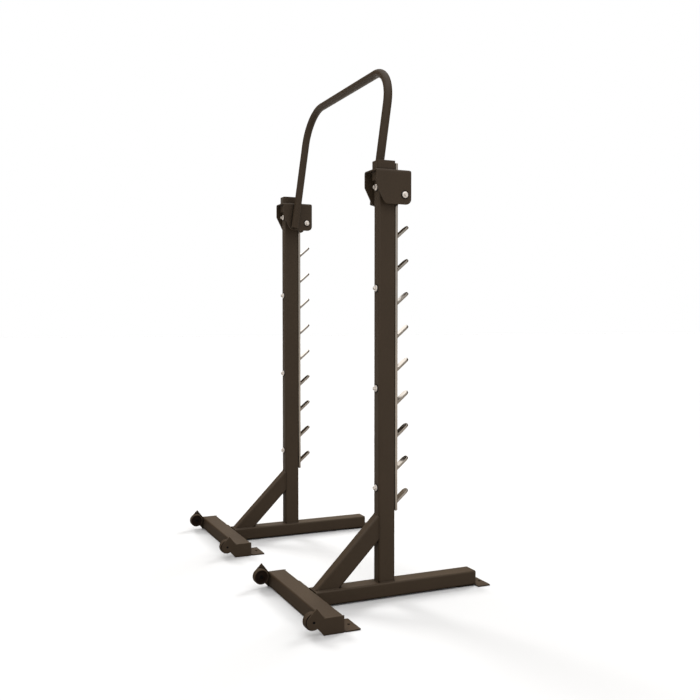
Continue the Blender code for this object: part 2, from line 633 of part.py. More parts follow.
def add_cross_bolt(stand, side, low, high, height):
    """The bolt through both cheeks, with the sleeve between them and the nut at its end."""
    bore = BOLT_RADIUS + SEAT_GAP
    nut_far = high + SEAT_GAP + NUT_HEIGHT
    flange_bolt(side + "_cross_bolt", nut_far + BOLT_END - low + SEAT_GAP, stand,
                (low - SEAT_GAP, -CROSS_BOLT_BACK, height), ALONG_BACK_X)
    inside = high - low - 2 * (BENT_PLATE + SEAT_GAP)
    extrusion(side + "_cross_bolt_sleeve",
              [circle((0, 0), SPACER_RADIUS, BOLT_STEPS), circle((0, 0), bore)], inside, SIDEWAYS,
              DARK_STEEL, stand, ((low + high) / 2, -CROSS_BOLT_BACK, height))
    extrusion(side + "_cross_bolt_nut", [circle((0, 0), NUT_RADIUS, 6), circle((0, 0), bore)],
              NUT_HEIGHT, SIDEWAYS, BRIGHT_STEEL, stand,
              (nut_far - NUT_HEIGHT / 2, -CROSS_BOLT_BACK, height))


def add_arch(span):
    """One bent tube from bracket to bracket, leaning towards the lifter, with open ends."""
    leg_x = STAND_SPACING / 2 - CHEEK_INSIDE - SEAT_GAP - ARCH_RADIUS
    lean = radians(ARCH_LEAN)
    foot_z = cheek_bottom + ARCH_FOOT
    rise = (web_top + ARCH_TOP - foot_z) / cos(lean)
    flat = rounded([(-leg_x, 0, 0), (-leg_x, rise, ARCH_BEND), (leg_x, rise, ARCH_BEND),
                    (leg_x, 0, 0)], BEND_STEPS)
    curve = bpy.data.curves.new("arch", "CURVE")
    curve.dimensions = "3D"
    curve.bevel_depth = ARCH_RADIUS
    curve.bevel_resolution = 5
    add_path(curve, [(x, -up * sin(lean), up * cos(lean)) for x, up in flat], cyclic=False)
    mesh = curve_mesh("arch", curve)
    arch = add_part("arch", mesh, POWDER_COAT, span, (0, ARCH_FOOT_Y, foot_z))
    wall = arch.modifiers.new("wall", "SOLIDIFY")
    wall.thickness = ARCH_WALL
    wall.offset = -1


def add_empty(name, location):
    """An empty that carries one stand, or the span between them."""
    empty = bpy.data.objects.new(name, None)
    empty.location = location
    parts.objects.link(empty)
    return empty


def shade_round_pieces():
    """Smooth shading with sharp edges kept, on every piece."""
    for part in parts.objects:
        if part.type == "MESH":
            part.data.shade_smooth()
            part.data.set_sharp_from_angle(angle=radians(35))


for side, out in (("left", -1), ("right", 1)):
    stand = add_empty(side + "_stand", (out * STAND_SPACING / 2, upright_y, 0))
    upright = add_frame(stand, side)
    for place, face in (("outer", out), ("inner", -out)):
        add_foot_end(stand, side, place, face)
    add_rear_anchor(stand, side)
    add_rail(stand, side, upright)
    add_head(stand, side, out)
add_arch(add_empty("span", (0, upright_y, 0)))
shade_round_pieces()
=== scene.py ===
"""Looks for a pair of squat stands joined by a bent tubular arch.

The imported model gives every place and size. The flat plates and the rectangular tubes keep its shapes and
get eased edges. The arch, the hook rails, the wheels and the bolts are modelled again, and the weld beads
are added. X runs along the arch, Y towards the front, away from the lifter, and Z up.
"""
import json
from math import atan2, cos, pi, radians, sin, tan

import bmesh
import bpy
from mathutils import Matrix, Vector


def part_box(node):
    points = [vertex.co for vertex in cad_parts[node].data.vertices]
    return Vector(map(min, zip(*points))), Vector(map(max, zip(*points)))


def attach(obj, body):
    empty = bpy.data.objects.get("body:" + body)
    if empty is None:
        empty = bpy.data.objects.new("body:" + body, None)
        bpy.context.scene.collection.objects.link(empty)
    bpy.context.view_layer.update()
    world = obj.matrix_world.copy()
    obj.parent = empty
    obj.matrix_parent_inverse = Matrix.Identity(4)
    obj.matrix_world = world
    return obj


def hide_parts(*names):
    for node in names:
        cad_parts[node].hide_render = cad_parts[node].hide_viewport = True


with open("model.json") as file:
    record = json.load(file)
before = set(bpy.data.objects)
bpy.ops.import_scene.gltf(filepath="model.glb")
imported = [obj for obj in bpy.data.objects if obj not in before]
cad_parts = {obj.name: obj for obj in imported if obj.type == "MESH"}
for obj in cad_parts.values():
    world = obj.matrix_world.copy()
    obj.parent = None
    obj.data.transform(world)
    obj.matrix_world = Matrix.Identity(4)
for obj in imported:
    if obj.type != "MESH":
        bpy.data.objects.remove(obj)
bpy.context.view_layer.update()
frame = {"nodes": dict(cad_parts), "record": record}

MM = 0.001

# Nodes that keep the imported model's shape, on each stand
STEEL_NODES = ("upright", "base_tube", "cross_foot", "brace", "collar", "saddle_bracket",
               "outer_end_plate", "inner_end_plate", "outer_anchor", "inner_anchor", "rear_anchor",
               "cross_bolt_nut", "cross_bolt_sleeve", "outer_axle", "inner_axle")
PLASTIC_NODES = ("upright_plug", "base_end_cap")
SLOTS = {part["node"]: part["material_slot"] for part in frame["record"]["subparts"]}

# Edges
EASED = 0.8 * MM               # rounding that deburring and the coat leave on a cut edge
PLASTIC_EASED = 0.6 * MM
WASHER_EASED = 0.4 * MM
WHEEL_EASED = 0.3 * MM
EASED_STEPS = 2
SHARP = radians(38)            # edges that turn more than this are eased
ONE_FLAT = radians(1)          # triangles that turn less than this make one flat
ONE_POINT = 0.01 * MM          # points closer than this are merged
FLAT_WIDTH = 4 * MM            # faces wider than this are flats, and narrower ones belong to a bend
FLAT_RIM = 0.2 * MM

# Arch
ARCH_RADIUS = 19 * MM
ARCH_WALL = 3 * MM
ARCH_BEND = 170 * MM           # radius of the two bends, on the tube's centreline
ARCH_LEAN = radians(8.03)      # towards the lifter
ARCH_TOP = 474.7 * MM          # from the brackets' top to the crossbar's centreline
ARCH_FOOT = 10 * MM            # from the brackets' lower edge up to the legs' open ends
ARCH_FOOT_Y = 6 * MM           # upright's centreline to the leg's, at its open end
ARCH_SIDES = 64
ARCH_BEND_STEPS = 32

# Hook rail
HOOKS = 9
HOOK_PITCH = 140 * MM
HOOK_FIRST_DROP = 316.8 * MM   # from the upright's top to the first hook's lower corner
HOOK_WIDTH = 38 * MM
HOOK_PLATE = 9.5 * MM
HOOK_LENGTH = 80 * MM          # along the slope, from the rail's face to the round end
HOOK_ROOT = 6 * MM             # the bar's length behind that face, before it is cut flush
HOOK_SLOPE = radians(40.6)
HOOK_ROUND_STEPS = 12
HOOK_EASED = 2.0 * MM
HOOK_EASED_STEPS = 3
RAIL_PLATE = 12 * MM
RAIL_EASED = 3.5 * MM
RAIL_EASED_STEPS = 4

# Bolts and washers
RAIL_BOLTS = 4
FLANGE_RADIUS = 13.5 * MM
FLANGE_RIM = 2 * MM
FLANGE_HEIGHT = 5.5 * MM
FLANGE_DOME = range(0, 51, 10)   # degrees round the flange's domed top
HEX_RADIUS = 7.5 * MM          # across the corners, halved
HEX_HEIGHT = 7 * MM
HEX_CHAMFER = 0.9 * MM
HEX_DISH = 0.5 * MM
SHANK_RADIUS = 6 * MM
WASHER_RADIUS = 17.5 * MM
WASHER_PLATE = 1.5 * MM
WASHER_ROOM = 0.3 * MM         # between the washer's bore and the shank
THREAD_PITCH = 1.75 * MM
THREAD_DEPTH = 0.9 * MM
THREADED = 24 * MM             # threaded part at the cross bolt's end
TURNED_SIDES = 48              # a multiple of six, so that a hexagon's corners match it

# Wheels
HUB_RADIUS = 12 * MM
BORE_RADIUS = 5.3 * MM
COUNTERBORE_RADIUS = 8.8 * MM
COUNTERBORE_DEPTH = 6.3 * MM
HUB_BOSS = 2.5 * MM            # how far the hub stands out of the tyre, towards the end plate
TREAD = 4 * MM                 # thickness of the rubber tyre on the moulded disc
TREAD_GROOVE = 1.2 * MM
TYRE_ROUND = 3 * MM
TYRE_SHOULDER = range(0, 91, 15)   # degrees round a tyre's shoulder
FACE_RECESS = 1.5 * MM
RECESS_OUTER = 26 * MM
WHEEL_SIDES = 72

# Welds
BEAD = 3.2 * MM                # radius of a fillet bead under the coat
FINE_BEAD = 2.4 * MM
HOOK_BEAD = 2.0 * MM
RIPPLE = 4 * MM                # between two ripples of a bead
RIPPLE_DEPTH = 0.16            # share of the bead's radius
BEAD_SIDES = 8
CORNER_KEEP = 7 * MM           # a bead stops this short of a tube's rounded corner
LEG_BEAD_APART = 0.55          # from the arch leg's centreline, as a share of its radius
LEG_BEAD_PROUD = 0.6           # from the bracket's cheek, as a share of the bead's radius

# Finishes
NOISE_LOW = 0.3                # nearly all of a noise lies between these two values
NOISE_HIGH = 0.7
# Painted shade: the colour is darkened towards a dark tone in corners and between parts, where shade falls
CORNER_SHADE_REACH = 12 * MM          # how far from a corner the painted shade reaches
CORNER_SHADE_FROM = 0.85              # how open a place is, 1 on a flat, where the painted shade begins
CORNER_SHADE_FULL = 0.35
CORNER_SHADE_SHARE = 0.9
GRIME_DULLS = 0.3              # added to the roughness
RUBBED_WIDTH = 2 * MM          # how far from an edge handling polishes it
RUBBED_FROM = 0.95             # how solid the metal is behind a place, 1 on a flat, where rubbing begins
RUBBED_FULL = 0.5
RUBBED_SHARE = 0.4
RUBBED_POLISHES = -0.2         # added to the roughness
OPENNESS_SAMPLES = 6
ROLLED_STRETCH = (1.0, 1.0, 0.04)    # draws a noise out along the bar

# Light
WHITE = "#FFFFFF"
CEILING_FROM = 0.52            # height in the sky, 0 level and 1 overhead, where the ceiling begins
CEILING_FULL = 0.80
CEILING_LEVEL = 1.22
WALL_TURN = -0.3               # how far the wall's middle is turned from -X towards +Y
WALL_FROM = 0.5                # place across the sky, +1 at the back and -1 at the wall, where it begins
WALL_FULL = -0.75
WALL_LEVEL = 0.72
DARK_LEVEL = 0.07              # of what lies opposite the wall
DARK_TINT = "#FFDDB4"
FLOOR_REACH = 60.0             # metres
FLOOR_SHOWN = "#D2D2D2"        # as the camera sees it
FLOOR_LIT = "#9F9D9A"          # as it lights the stands from below
NEAR_FLOOR = 1.2               # metres from the stands' middle, up to where polished faces mirror it dark
NEAR_MIRRORED = "#6E6A65"
FAR_FLOOR = 2.4                # and from where they mirror it bright
FAR_MIRRORED = "#B9B6B2"
PANEL_X = 3.0                  # the panels stand here, upright, and face the stands
PANEL_FACING = (-1, 0, 0)
HIGH_PANEL = (-1.1, 0.37, 1.86, 3.08)    # edges: two along Y, then two heights
HIGH_PANEL_LEVEL = 2.3
LOW_PANEL = (-2.8, -0.3, 0.3, 1.8)
LOW_PANEL_LEVEL = 0.66
DIM_PANEL = (0.38, 2.6, 1.6, 3.2)
DIM_PANEL_LEVEL = 0.26
WARM = "#FFF0DA"               # the colour of the low and the dim panel
KEY_TURN = radians(-60)        # where the key light comes from, from +X towards +Y
KEY_STRENGTH = 1.6
BACK_TURN = radians(8)
BACK_STRENGTH = 1.7
FAR_LIGHT_RISE = radians(34)
FAR_LIGHT_SPREAD = radians(20)
FAR_LIGHT_PLACE = (0, 0, 3)    # only its direction counts

# The photograph's viewpoint
IMAGE_WIDTH = 700              # pixels
FOCAL_PIXELS = 859.287
SENSOR = 36.0                  # millimetres
CAMERA_PLACE = (-3.8331, 1.6086, 1.1693)
CAMERA_YAW = radians(23.953)   # from +X towards -Y
CAMERA_DOWN = radians(1.922)
CAMERA_REACH = 200.0           # metres, past the floor's edge


def linear(code):
    """A hex sRGB colour as linear red, green, blue and alpha."""
    channels = [int(code[i:i + 2], 16) / 255 for i in (1, 3, 5)]
    return (*[c / 12.92 if c <= 0.04045 else ((c + 0.055) / 1.055) ** 2.4 for c in channels], 1.0)


def per_metre(millimetres):
    """The texture scale at which a pattern's grain is about this wide."""
    return 1000 / millimetres


def add(tree, kind, inputs=None, **settings):
    """Add a node. Inputs are named or numbered sockets, each given a value or another node's output."""
    node = tree.nodes.new(kind)
    for name, value in settings.items():
        setattr(node, name, value)
    for name, value in (inputs or {}).items():
        if isinstance(value, bpy.types.NodeSocket):
            tree.links.new(value, node.inputs[name])
        else:
            node.inputs[name].default_value = value
    return node


def new_finish(name):
    """A material with its node tree, its shader and a point's place on the piece."""
    finish = bpy.data.materials.new(name)
    finish.use_nodes = True
    tree = finish.node_tree
    return finish, tree, tree.nodes["Principled BSDF"], add(tree, "ShaderNodeTexCoord").outputs["Object"]


def dress(tree, shader, patches, tones, sheen, roughness, painted_shade, rubbed, relief, strength, depth):
    """Link a finish's patterns to its shader.

    The colour wanders between two tones with the patches, and the roughness between two values with the
    sheen. Painted shade darkens the corners and raises their roughness, handling polishes the edges, and
    the relief raises the surface by its depth.
    """
    patchy = add(tree, "ShaderNodeMapRange", {"Value": patches, "From Min": NOISE_LOW,
                                              "From Max": NOISE_HIGH})
    tone = add(tree, "ShaderNodeMix", {0: patchy.outputs["Result"], 6: linear(tones[0]),
                                       7: linear(tones[1])}, data_type="RGBA")
    gloss = add(tree, "ShaderNodeMapRange", {"Value": sheen, "From Min": NOISE_LOW, "From Max": NOISE_HIGH,
                                             "To Min": roughness[0], "To Max": roughness[1]})
    # Painted shade: an occlusion mask darkens the colour in corners and between parts, and raises the
    # roughness there
    hollow = add(tree, "ShaderNodeAmbientOcclusion", {"Distance": CORNER_SHADE_REACH}, samples=OPENNESS_SAMPLES)
    shade_mask = add(tree, "ShaderNodeMapRange", {"Value": hollow.outputs["AO"], "From Min": CORNER_SHADE_FROM,
                                             "From Max": CORNER_SHADE_FULL, "To Max": CORNER_SHADE_SHARE})
    edge = add(tree, "ShaderNodeAmbientOcclusion", {"Distance": RUBBED_WIDTH}, samples=OPENNESS_SAMPLES,
               inside=True, only_local=True)
    worn = add(tree, "ShaderNodeMapRange", {"Value": edge.outputs["AO"], "From Min": RUBBED_FROM,
                                            "From Max": RUBBED_FULL, "To Max": RUBBED_SHARE})
    shaded_tone = add(tree, "ShaderNodeMix", {0: shade_mask.outputs["Result"], 6: tone.outputs[2],
                                        7: linear(painted_shade)}, data_type="RGBA")
    shown = add(tree, "ShaderNodeMix", {0: worn.outputs["Result"], 6: shaded_tone.outputs[2],
                                        7: linear(rubbed)}, data_type="RGBA")
    polish = add(tree, "ShaderNodeMath", {0: worn.outputs["Result"], 1: RUBBED_POLISHES,
                                          2: gloss.outputs["Result"]}, operation="MULTIPLY_ADD")
    dull = add(tree, "ShaderNodeMath", {0: shade_mask.outputs["Result"], 1: GRIME_DULLS,
                                        2: polish.outputs[0]}, operation="MULTIPLY_ADD")
    bump = add(tree, "ShaderNodeBump", {"Height": relief, "Strength": strength, "Distance": depth})
    tree.links.new(shown.outputs[2], shader.inputs["Base Color"])
    tree.links.new(dull.outputs[0], shader.inputs["Roughness"])
    tree.links.new(bump.outputs["Normal"], shader.inputs["Normal"])


def powder_coat():
    """Polyester powder coat, sprayed on and baked: a satin bronze-brown film with a fine orange peel.

    The real peel is about 1 mm wide and is drawn at 2.5 mm, as coarse as it needs to show.
    """
    finish, tree, shader, place = new_finish("satin_bronze_powder_coat")
    clouds = add(tree, "ShaderNodeTexNoise", {"Vector": place, "Scale": per_metre(160), "Detail": 3.0})
    specks = add(tree, "ShaderNodeTexNoise", {"Vector": place, "Scale": per_metre(6), "Detail": 2.0})
    peel = add(tree, "ShaderNodeTexNoise", {"Vector": place, "Scale": per_metre(2.5), "Detail": 2.0})
    both = add(tree, "ShaderNodeMath", {0: clouds.outputs["Fac"], 1: specks.outputs["Fac"]},
               operation="ADD")
    half = add(tree, "ShaderNodeMath", {0: both.outputs[0], 1: 0.5}, operation="MULTIPLY")
    shader.inputs["Specular IOR Level"].default_value = 0.25
    # The colour given for the corners is painted shade
    dress(tree, shader, patches=half.outputs[0], tones=("#3C3023", "#423527"),
          sheen=specks.outputs["Fac"], roughness=(0.52, 0.60), painted_shade="#120E0A", rubbed="#5A4A38",
          relief=peel.outputs["Fac"], strength=0.22, depth=0.15 * MM)
    return finish


def zinc_plate(name, light, dark, roughness):
    """Bright zinc on rolled flat bar: a silvery, slightly warm metal with faint lines along the bar.

    The rolling lines are about 0.5 mm wide and are drawn 3 mm wide, so that they show.
    """
    finish, tree, shader, place = new_finish(name)
    along = add(tree, "ShaderNodeMapping", {"Vector": place, "Scale": ROLLED_STRETCH})
    lines = add(tree, "ShaderNodeTexNoise", {"Vector": along.outputs[0], "Scale": per_metre(3),
                                             "Detail": 3.0})
    clouds = add(tree, "ShaderNodeTexNoise", {"Vector": place, "Scale": per_metre(40), "Detail": 3.0})
    shader.inputs["Metallic"].default_value = 1.0
    # The colour given for the corners is painted shade
    dress(tree, shader, patches=clouds.outputs["Fac"], tones=(light, dark),
          sheen=clouds.outputs["Fac"], roughness=roughness, painted_shade="#4A4238", rubbed=light,
          relief=lines.outputs["Fac"], strength=0.1, depth=0.05 * MM)
    return finish


def bright_bolt_steel():
    """Bright zinc on cold-headed steel: a silvery white with soft, slightly mottled reflections."""
    finish, tree, shader, place = new_finish("bright_zinc_bolt_steel")
    marks = add(tree, "ShaderNodeTexNoise", {"Vector": place, "Scale": per_metre(4), "Detail": 3.0})
    shader.inputs["Metallic"].default_value = 0.6
    # The colour given for the corners is painted shade
    dress(tree, shader, patches=marks.outputs["Fac"], tones=("#F5EEE7", "#EAE1D8"),
          sheen=marks.outputs["Fac"], roughness=(0.38, 0.50), painted_shade="#A89E94", rubbed="#F7F1EA",
          relief=marks.outputs["Fac"], strength=0.1, depth=0.1 * MM)
    return finish


def blackened_steel():
    """Black oxide on machined steel: near black, dull, with a little oil sheen in patches."""
    finish, tree, shader, place = new_finish("black_oxide_steel")
    patches = add(tree, "ShaderNodeTexNoise", {"Vector": place, "Scale": per_metre(8), "Detail": 4.0})
    shader.inputs["Metallic"].default_value = 0.2
    shader.inputs["Specular IOR Level"].default_value = 0.15
    # The colour given for the corners is painted shade
    dress(tree, shader, patches=patches.outputs["Fac"], tones=("#0A0806", "#120F0C"),
          sheen=patches.outputs["Fac"], roughness=(0.42, 0.55), painted_shade="#050403", rubbed="#2A2621",
          relief=patches.outputs["Fac"], strength=0.1, depth=0.05 * MM)
    return finish


def wheel_rubber():
    """Solid moulded rubber: dark brown-black and matt, with a fine moulded grain.

    The real grain is about 0.4 mm wide and is drawn at 1.2 mm, so that it shows.
    """
    finish, tree, shader, place = new_finish("moulded_black_rubber")
    dust = add(tree, "ShaderNodeTexNoise", {"Vector": place, "Scale": per_metre(14), "Detail": 4.0})
    grain = add(tree, "ShaderNodeTexNoise", {"Vector": place, "Scale": per_metre(1.2), "Detail": 2.0})
    shader.inputs["Specular IOR Level"].default_value = 0.2
    # The colour given for the corners is painted shade
    dress(tree, shader, patches=dust.outputs["Fac"], tones=("#3D3124", "#493B2D"),
          sheen=dust.outputs["Fac"], roughness=(0.62, 0.76), painted_shade="#0A0806", rubbed="#453D34",
          relief=grain.outputs["Fac"], strength=0.2, depth=0.15 * MM)
    return finish


def wheel_disc():
    """Glass-filled nylon, moulded: a near-black disc with a slight sheen and the glass's flow marks."""
    finish, tree, shader, place = new_finish("moulded_black_nylon")
    glass = add(tree, "ShaderNodeTexNoise", {"Vector": place, "Scale": per_metre(3), "Detail": 3.0})
    shader.inputs["Specular IOR Level"].default_value = 0.08
    # The colour given for the corners is painted shade
    dress(tree, shader, patches=glass.outputs["Fac"], tones=("#1A100A", "#20160F"),
          sheen=glass.outputs["Fac"], roughness=(0.5, 0.62), painted_shade="#040302", rubbed="#2B241E",
          relief=glass.outputs["Fac"], strength=0.15, depth=0.1 * MM)
    return finish


def cap_plastic():
    """Injection-moulded polyethylene, spark-eroded texture: brown like the coat, a little duller.

    The real texture's pits are about 0.2 mm wide and are drawn at 1.5 mm, so that they show.
    """
    finish, tree, shader, place = new_finish("moulded_brown_polyethylene")
    flow = add(tree, "ShaderNodeTexNoise", {"Vector": place, "Scale": per_metre(30), "Detail": 2.0})
    spark = add(tree, "ShaderNodeTexVoronoi", {"Vector": place, "Scale": per_metre(1.5)})
    # The colour given for the corners is painted shade
    dress(tree, shader, patches=flow.outputs["Fac"], tones=("#3B342C", "#443B31"),
          sheen=flow.outputs["Fac"], roughness=(0.5, 0.6), painted_shade="#15110D", rubbed="#4C4237",
          relief=spark.outputs["Distance"], strength=0.15, depth=0.1 * MM)
    return finish


FINISHES = {
    "powder_coat": powder_coat(),
    "rail_steel": zinc_plate("bright_zinc_plated_bar", "#B0A79C", "#A59C91", (0.10, 0.16)),
    "hook_steel": zinc_plate("polished_zinc_plated_hooks", "#9F978D", "#968E84", (0.04, 0.08)),
    "bolt_steel": bright_bolt_steel(),
    "dark_steel": blackened_steel(),
    "wheel_rubber": wheel_rubber(),
    "wheel_disc": wheel_disc(),
    "cap_plastic": cap_plastic(),
}


def make_piece(name, bm, finish, body="root", stands_for=()):
    """Turn a bmesh into a piece that rides on a body, with one of the finishes."""
    mesh = bpy.data.meshes.new(name)
    bm.to_mesh(mesh)
    bm.free()
    mesh.shade_smooth()
    mesh.set_sharp_from_angle(angle=SHARP)
    mesh.materials.append(FINISHES[finish])
    piece = bpy.data.objects.new(name, mesh)
    bpy.context.scene.collection.objects.link(piece)
    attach(piece, body)
    if stands_for:
        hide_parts(*stands_for)


def middle(node):
    """The middle of a CAD node's box."""
    low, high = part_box(node)
    return (low + high) / 2


def aim(place, direction):
    """The transform that carries the origin to a place and the Z axis to a direction."""
    return Matrix.Translation(place) @ Vector(direction).to_track_quat("Z", "Y").to_matrix().to_4x4()


def only(kind, made):
    """Only the vertices, or only the edges, in what an operator made."""
    return [item for item in made if isinstance(item, kind)]


def climb(edge):
    """How much higher one end of an edge lies than the other."""
    return abs(edge.verts[0].co.z - edge.verts[1].co.z)


def ease(bm, edges, width, steps=EASED_STEPS):
    """Round edges over by a width."""
    bmesh.ops.bevel(bm, geom=edges, offset=width, offset_type="OFFSET", segments=steps, profile=0.5,
                    affect="EDGES", clamp_overlap=True, material=-1)


def sharp_edges(bm):
    """Edges where two faces meet at more than the smooth angle."""
    return [edge for edge in bm.edges if edge.calc_face_angle(0) > SHARP]


def hold_flats(bm):
    """Give each flat face a thin rim, so that the smooth shading of a bend beside it ends there.

    A long strip's width is about twice its area over its perimeter.
    """
    flats = [f for f in bm.faces if 2 * f.calc_area() > FLAT_WIDTH * f.calc_perimeter()]
    bmesh.ops.inset_individual(bm, faces=flats, thickness=FLAT_RIM, use_even_offset=True)


def make_eased(node, width=EASED):
    """A piece with a CAD node's own shape and its cut edges eased."""
    bm = bmesh.new()
    bm.from_mesh(frame["nodes"][node].data)
    bmesh.ops.remove_doubles(bm, verts=bm.verts, dist=ONE_POINT)
    bmesh.ops.dissolve_limit(bm, angle_limit=ONE_FLAT, verts=bm.verts, edges=bm.edges)
    ease(bm, sharp_edges(bm), width)
    hold_flats(bm)
    make_piece(node + "_finished", bm, SLOTS[node], stands_for=[node])


def extrude_ring(bm, edges, step):
    """Extrude an open ring of edges by a step and return the new ring."""
    made = bmesh.ops.extrude_edge_only(bm, edges=edges)["geom"]
    bmesh.ops.translate(bm, verts=only(bmesh.types.BMVert, made), vec=step)
    return [e for e in only(bmesh.types.BMEdge, made) if e.is_boundary]


def bend_ring(bm, edges, centre):
    """Carry an open ring of edges round a quarter turn about a level axis and return its last place."""
    verts = list({v for e in edges for v in e.verts})
    made = bmesh.ops.spin(bm, geom=verts + edges, cent=centre, axis=(0, 1, 0), angle=pi / 2,
                          steps=ARCH_BEND_STEPS, use_duplicate=False)["geom_last"]
    return only(bmesh.types.BMEdge, made)


def make_arch():
    """One tube, drawn up a leg, round a bend, across, round the other bend and down.

    It is made upright at the origin, then leant and set on the brackets. A leg clears its bracket's cheek
    by the gap that the model leaves between welded pieces.
    """
    bracket_low, bracket_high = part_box("left_saddle_bracket")
    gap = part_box("left_upright")[0].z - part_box("left_base_tube")[1].z
    leg = -bracket_high.x - gap - ARCH_RADIUS
    foot = Vector((0, middle("left_upright").y + ARCH_FOOT_Y, bracket_low.z + ARCH_FOOT))
    rise = (bracket_high.z + ARCH_TOP - foot.z) / cos(ARCH_LEAN)
    bm = bmesh.new()
    bmesh.ops.create_circle(bm, cap_ends=False, radius=ARCH_RADIUS, segments=ARCH_SIDES,
                            matrix=Matrix.Translation((-leg, 0, 0)))
    ring = extrude_ring(bm, list(bm.edges), (0, 0, rise - ARCH_BEND))
    ring = bend_ring(bm, ring, (ARCH_BEND - leg, 0, rise - ARCH_BEND))
    ring = extrude_ring(bm, ring, (2 * (leg - ARCH_BEND), 0, 0))
    ring = bend_ring(bm, ring, (leg - ARCH_BEND, 0, rise - ARCH_BEND))
    extrude_ring(bm, ring, (0, 0, ARCH_BEND - rise))
    bmesh.ops.recalc_face_normals(bm, faces=bm.faces)
    bmesh.ops.solidify(bm, geom=list(bm.faces), thickness=ARCH_WALL)
    ease(bm, sharp_edges(bm), EASED)
    bm.transform(Matrix.Translation(foot) @ Matrix.Rotation(ARCH_LEAN, 4, "X"))
    make_piece("arch_tube", bm, "powder_coat", stands_for=["arch"])


def join(bm, other):
    """Add another bmesh's shell to this one."""
    holder = bpy.data.meshes.new("holder")
    other.to_mesh(holder)
    other.free()
    bm.from_mesh(holder)
    bpy.data.meshes.remove(holder)


def bead(bm, start, end, radius=BEAD):
    """A run of weld between two points, with the ripples that its pool leaves."""
    along = Vector(end) - Vector(start)
    ripples = max(2, round(along.length / RIPPLE))
    run = bmesh.new()
    bmesh.ops.create_cone(run, cap_ends=True, segments=BEAD_SIDES, radius1=radius, radius2=radius,
                          depth=along.length)
    sides = [e for e in run.edges if climb(e) > along.length / 2]
    bmesh.ops.subdivide_edges(run, edges=sides, cuts=2 * ripples - 1)
    for vert in run.verts:
        phase = (vert.co.z / along.length + 0.5) * ripples
        vert.co.xy *= 1 - RIPPLE_DEPTH * abs(cos(pi * phase))
    run.transform(aim((Vector(start) + Vector(end)) / 2, along))
    join(bm, run)


def flat_bar(centre, size):
    """A plain bar of a size round its centre."""
    bm = bmesh.new()
    bmesh.ops.create_cube(bm, size=1.0)
    bm.transform(Matrix.Translation(centre) @ Matrix.Diagonal((*size, 1)))
    return bm


def make_hook(height, stand_x, rail_y):
    """One hook: a flat bar with a round end that slopes up towards the lifter, cut flush with the rail."""
    hook = flat_bar((0, (HOOK_LENGTH - HOOK_ROOT) / 2, HOOK_PLATE / 2),
                    (HOOK_WIDTH, HOOK_LENGTH + HOOK_ROOT, HOOK_PLATE))
    far = [e for e in hook.edges if all(v.co.y > 0 for v in e.verts) and climb(e) > HOOK_PLATE / 2]
    ease(hook, far, HOOK_WIDTH / 2, HOOK_ROUND_STEPS)
    bmesh.ops.remove_doubles(hook, verts=hook.verts, dist=ONE_POINT)
    ease(hook, sharp_edges(hook), HOOK_EASED, HOOK_EASED_STEPS)
    turn = Matrix.Rotation(HOOK_SLOPE, 4, "X")
    hook.transform(Matrix.Translation((stand_x, rail_y, height)) @ Matrix.Rotation(pi, 4, "Z") @ turn)
    everything = list(hook.verts) + list(hook.edges) + list(hook.faces)
    cut = bmesh.ops.bisect_plane(hook, geom=everything, plane_co=(0, rail_y, 0), plane_no=(0, 1, 0),
                                 clear_outer=True)["geom_cut"]
    bmesh.ops.edgeloop_fill(hook, edges=only(bmesh.types.BMEdge, cut))
    return hook


def make_rail(side):
    """The hook rail: a bar with eased edges, nine hooks and the welds at their roots."""
    low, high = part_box(side + "_hook_rail")
    upright_low, upright_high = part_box(side + "_upright")
    stand_x = (upright_low.x + upright_high.x) / 2
    rail_y = high.y - RAIL_PLATE
    bar = flat_bar((stand_x, high.y - RAIL_PLATE / 2, (low.z + high.z) / 2),
                   (high.x - low.x, RAIL_PLATE, high.z - low.z))
    ease(bar, sharp_edges(bar), RAIL_EASED, RAIL_EASED_STEPS)
    hooks = bmesh.new()
    half = HOOK_WIDTH / 2 - HOOK_BEAD
    for i in range(HOOKS):
        height = upright_high.z - HOOK_FIRST_DROP - i * HOOK_PITCH
        join(hooks, make_hook(height, stand_x, rail_y))
        for z in (height, height + HOOK_PLATE / cos(HOOK_SLOPE)):
            bead(bar, (stand_x - half, rail_y, z), (stand_x + half, rail_y, z), HOOK_BEAD)
    for kind, bm, finish in (("rail", bar, "rail_steel"), ("hooks", hooks, "hook_steel")):
        hold_flats(bm)
        make_piece(side + "_" + kind, bm, finish, stands_for=[side + "_hook_rail"])


def turn_profile(bm, profile, sides):
    """Turn a line of (radius, height) points about the Z axis and close its seam."""
    verts = [bm.verts.new((radius, 0, height)) for radius, height in profile]
    edges = [bm.edges.new(pair) for pair in zip(verts, verts[1:])]
    bmesh.ops.spin(bm, geom=verts + edges, cent=(0, 0, 0), axis=(0, 0, 1), angle=2 * pi, steps=sides,
                   use_merge=True, use_duplicate=False)
    bmesh.ops.remove_doubles(bm, verts=bm.verts, dist=ONE_POINT)


def turned_piece(name, profile, sides, eased, place, finish, body="root", stands_for=()):
    """A turned piece with its sharp edges eased, set in its place."""
    bm = bmesh.new()
    turn_profile(bm, profile, sides)
    bmesh.ops.recalc_face_normals(bm, faces=bm.faces)
    ease(bm, sharp_edges(bm), eased)
    bm.transform(place)
    make_piece(name, bm, finish, body, stands_for)


